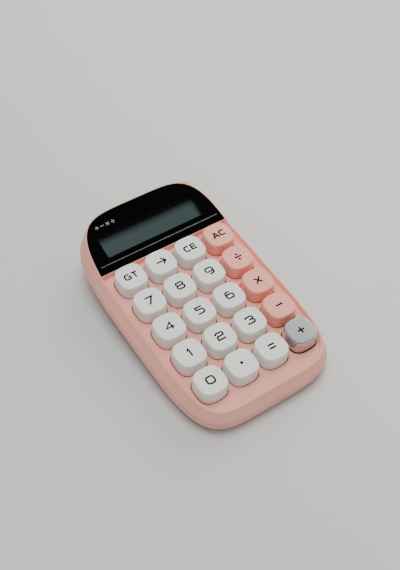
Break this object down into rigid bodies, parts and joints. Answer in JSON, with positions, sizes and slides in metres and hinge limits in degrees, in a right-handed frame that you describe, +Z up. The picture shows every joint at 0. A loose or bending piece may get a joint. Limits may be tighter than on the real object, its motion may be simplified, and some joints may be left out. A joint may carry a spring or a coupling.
{
  "type": "desk calculator",
  "caption": "Desk calculator with square mechanical keys, a sloping gloss display panel with a blank liquid crystal window, and cells behind a sliding door.",
  "frame": {"origin": "middle of the bounding box at the table, under the rubber feet", "axes": "+Z up, +Y from the front keys towards the display, +X towards the operator's right"},
  "size_m": [0.0912, 0.1452, 0.0365],
  "materials": {
    "case_pink": "fine matte",
    "key_white": "satin",
    "key_pink": "satin",
    "key_metal": "satin top, bright sides",
    "lens_black": "high gloss",
    "trim_steel": "bright",
    "lcd_grey": "matt, blank",
    "holder_grey": "matte",
    "ribbon_amber": "satin film",
    "plate_steel": "black oxide",
    "board_green": "solder mask",
    "chip_black": "matte",
    "switch_black": "matte",
    "switch_clear": "satin",
    "spring_steel": "bright wire",
    "slider_brown": "satin",
    "cell_wrap": "plain printed film",
    "contact_metal": "nickel over brass",
    "wire_red": "satin",
    "foot_rubber": "matte",
    "screw_steel": "zinc plated",
    "legend_black": "printed",
    "mark_grey": "printed",
    "lens_clear": "clear, polished"
  },
  "bodies": {
    "case": {"top_case": "case_pink", "bottom_case": "case_pink", "display_lens": "lens_black", "display_trim": "trim_steel", "lcd_glass": "lcd_grey", "lcd_holder": "holder_grey", "lcd_ribbon": "ribbon_amber", "switch_plate": "plate_steel", "main_board": "board_green", "controller_chips": "chip_black", "switch_bases": "switch_black", "switch_tops": "switch_clear", "switch_springs": "spring_steel", "battery_cells": "cell_wrap", "battery_contacts": "contact_metal", "battery_wires": "wire_red", "rubber_feet": "foot_rubber", "case_screws": "screw_steel", "plate_screws": "screw_steel"},
    "key_gt": {"keycap_gt": "key_white", "slider_gt": "slider_brown"},
    "key_back": {"keycap_back": "key_white", "slider_back": "slider_brown"},
    "key_ce": {"keycap_ce": "key_white", "slider_ce": "slider_brown"},
    "key_ac": {"keycap_ac": "key_pink", "slider_ac": "slider_brown"},
    "key_7": {"keycap_7": "key_white", "slider_7": "slider_brown"},
    "key_8": {"keycap_8": "key_white", "slider_8": "slider_brown"},
    "key_9": {"keycap_9": "key_white", "slider_9": "slider_brown"},
    "key_divide": {"keycap_divide": "key_pink", "slider_divide": "slider_brown"},
    "key_4": {"keycap_4": "key_white", "slider_4": "slider_brown"},
    "key_5": {"keycap_5": "key_white", "slider_5": "slider_brown"},
    "key_6": {"keycap_6": "key_white", "slider_6": "slider_brown"},
    "key_times": {"keycap_times": "key_pink", "slider_times": "slider_brown"},
    "key_1": {"keycap_1": "key_white", "slider_1": "slider_brown"},
    "key_2": {"keycap_2": "key_white", "slider_2": "slider_brown"},
    "key_3": {"keycap_3": "key_white", "slider_3": "slider_brown"},
    "key_minus": {"keycap_minus": "key_pink", "slider_minus": "slider_brown"},
    "key_0": {"keycap_0": "key_white", "slider_0": "slider_brown"},
    "key_point": {"keycap_point": "key_white", "slider_point": "slider_brown"},
    "key_equals": {"keycap_equals": "key_white", "slider_equals": "slider_brown"},
    "key_plus": {"keycap_plus": "key_metal", "slider_plus": "slider_brown"},
    "door": {"battery_door": "case_pink"}
  },
  "joints": [
    {"name": "press_gt", "type": "slide", "parent": "case", "child": "key_gt", "axis": [0, 0.0698, -0.9976], "range_m": [0, 0.003], "stiffness_N_per_m": 100, "springref_m": -0.0035, "deforming": ["switch_springs"]},
    {"name": "press_back", "type": "slide", "parent": "case", "child": "key_back", "axis": [0, 0.0698, -0.9976], "range_m": [0, 0.003], "stiffness_N_per_m": 100, "springref_m": -0.0035, "deforming": ["switch_springs"]},
    {"name": "press_ce", "type": "slide", "parent": "case", "child": "key_ce", "axis": [0, 0.0698, -0.9976], "range_m": [0, 0.003], "stiffness_N_per_m": 100, "springref_m": -0.0035, "deforming": ["switch_springs"]},
    {"name": "press_ac", "type": "slide", "parent": "case", "child": "key_ac", "axis": [0, 0.0698, -0.9976], "range_m": [0, 0.003], "stiffness_N_per_m": 100, "springref_m": -0.0035, "deforming": ["switch_springs"]},
    {"name": "press_7", "type": "slide", "parent": "case", "child": "key_7", "axis": [0, 0.0698, -0.9976], "range_m": [0, 0.003], "stiffness_N_per_m": 100, "springref_m": -0.0035, "deforming": ["switch_springs"]},
    {"name": "press_8", "type": "slide", "parent": "case", "child": "key_8", "axis": [0, 0.0698, -0.9976], "range_m": [0, 0.003], "stiffness_N_per_m": 100, "springref_m": -0.0035, "deforming": ["switch_springs"]},
    {"name": "press_9", "type": "slide", "parent": "case", "child": "key_9", "axis": [0, 0.0698, -0.9976], "range_m": [0, 0.003], "stiffness_N_per_m": 100, "springref_m": -0.0035, "deforming": ["switch_springs"]},
    {"name": "press_divide", "type": "slide", "parent": "case", "child": "key_divide", "axis": [0, 0.0698, -0.9976], "range_m": [0, 0.003], "stiffness_N_per_m": 100, "springref_m": -0.0035, "deforming": ["switch_springs"]},
    {"name": "press_4", "type": "slide", "parent": "case", "child": "key_4", "axis": [0, 0.0698, -0.9976], "range_m": [0, 0.003], "stiffness_N_per_m": 100, "springref_m": -0.0035, "deforming": ["switch_springs"]},
    {"name": "press_5", "type": "slide", "parent": "case", "child": "key_5", "axis": [0, 0.0698, -0.9976], "range_m": [0, 0.003], "stiffness_N_per_m": 100, "springref_m": -0.0035, "deforming": ["switch_springs"]},
    {"name": "press_6", "type": "slide", "parent": "case", "child": "key_6", "axis": [0, 0.0698, -0.9976], "range_m": [0, 0.003], "stiffness_N_per_m": 100, "springref_m": -0.0035, "deforming": ["switch_springs"]},
    {"name": "press_times", "type": "slide", "parent": "case", "child": "key_times", "axis": [0, 0.0698, -0.9976], "range_m": [0, 0.003], "stiffness_N_per_m": 100, "springref_m": -0.0035, "deforming": ["switch_springs"]},
    {"name": "press_1", "type": "slide", "parent": "case", "child": "key_1", "axis": [0, 0.0698, -0.9976], "range_m": [0, 0.003], "stiffness_N_per_m": 100, "springref_m": -0.0035, "deforming": ["switch_springs"]},
    {"name": "press_2", "type": "slide", "parent": "case", "child": "key_2", "axis": [0, 0.0698, -0.9976], "range_m": [0, 0.003], "stiffness_N_per_m": 100, "springref_m": -0.0035, "deforming": ["switch_springs"]},
    {"name": "press_3", "type": "slide", "parent": "case", "child": "key_3", "axis": [0, 0.0698, -0.9976], "range_m": [0, 0.003], "stiffness_N_per_m": 100, "springref_m": -0.0035, "deforming": ["switch_springs"]},
    {"name": "press_minus", "type": "slide", "parent": "case", "child": "key_minus", "axis": [0, 0.0698, -0.9976], "range_m": [0, 0.003], "stiffness_N_per_m": 100, "springref_m": -0.0035, "deforming": ["switch_springs"]},
    {"name": "press_0", "type": "slide", "parent": "case", "child": "key_0", "axis": [0, 0.0698, -0.9976], "range_m": [0, 0.003], "stiffness_N_per_m": 100, "springref_m": -0.0035, "deforming": ["switch_springs"]},
    {"name": "press_point", "type": "slide", "parent": "case", "child": "key_point", "axis": [0, 0.0698, -0.9976], "range_m": [0, 0.003], "stiffness_N_per_m": 100, "springref_m": -0.0035, "deforming": ["switch_springs"]},
    {"name": "press_equals", "type": "slide", "parent": "case", "child": "key_equals", "axis": [0, 0.0698, -0.9976], "range_m": [0, 0.003], "stiffness_N_per_m": 100, "springref_m": -0.0035, "deforming": ["switch_springs"]},
    {"name": "press_plus", "type": "slide", "parent": "case", "child": "key_plus", "axis": [0, 0.0698, -0.9976], "range_m": [0, 0.003], "stiffness_N_per_m": 100, "springref_m": -0.0035, "deforming": ["switch_springs"]},
    {"name": "door_slide", "type": "slide", "parent": "case", "child": "door", "axis": [0, 1, 0], "range_m": [0, 0.026]}
  ]
}
